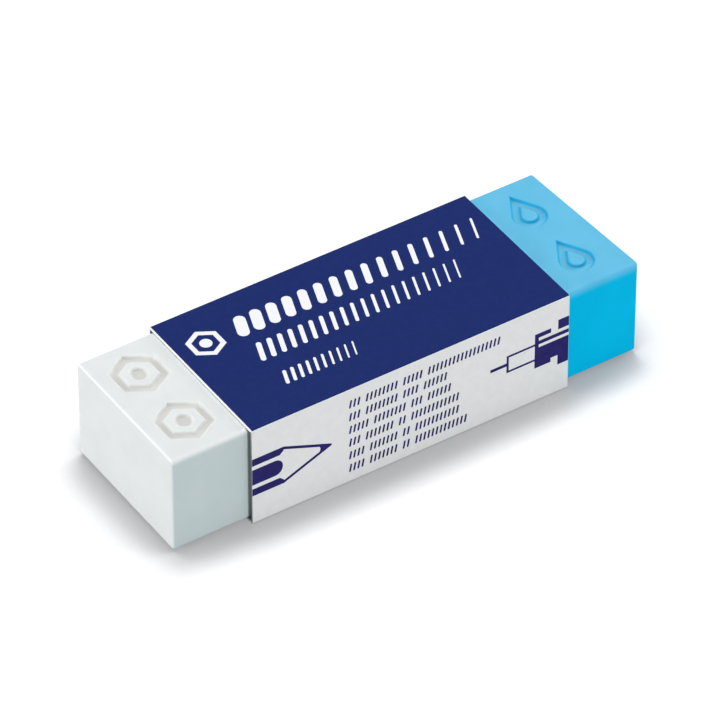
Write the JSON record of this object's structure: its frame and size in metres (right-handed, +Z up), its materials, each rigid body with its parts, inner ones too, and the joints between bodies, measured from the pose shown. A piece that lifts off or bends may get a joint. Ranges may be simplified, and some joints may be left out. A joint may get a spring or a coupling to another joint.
{
  "type": "rubber eraser",
  "caption": "Combination rubber eraser: a white end for pencil and a blue end for ink, bonded in one block, in a printed card sleeve that slides along it.",
  "frame": {"origin": "on the surface it lies on, under the middle of the block's length and of the sleeve's width", "axes": "+X along the eraser towards the blue end, -Y out of the narrow side with the overprinted pale panel, +Z up out of the broad face"},
  "size_m": [0.065, 0.0224, 0.0144],
  "materials": {
    "white_rubber": "soft matte white vinyl rubber",
    "blue_rubber": "soft matte sky-blue vinyl rubber",
    "printed_card": "coated white card with navy print, satin"
  },
  "bodies": {
    "block": {"white_half": "white_rubber", "blue_half": "blue_rubber"},
    "card_sleeve": {"sleeve": "printed_card"}
  },
  "joints": [
    {"name": "sleeve_slide", "type": "slide", "parent": "block", "child": "card_sleeve", "axis": [1, 0, 0], "range_m": [-0.0546, 0.0548]}
  ]
}
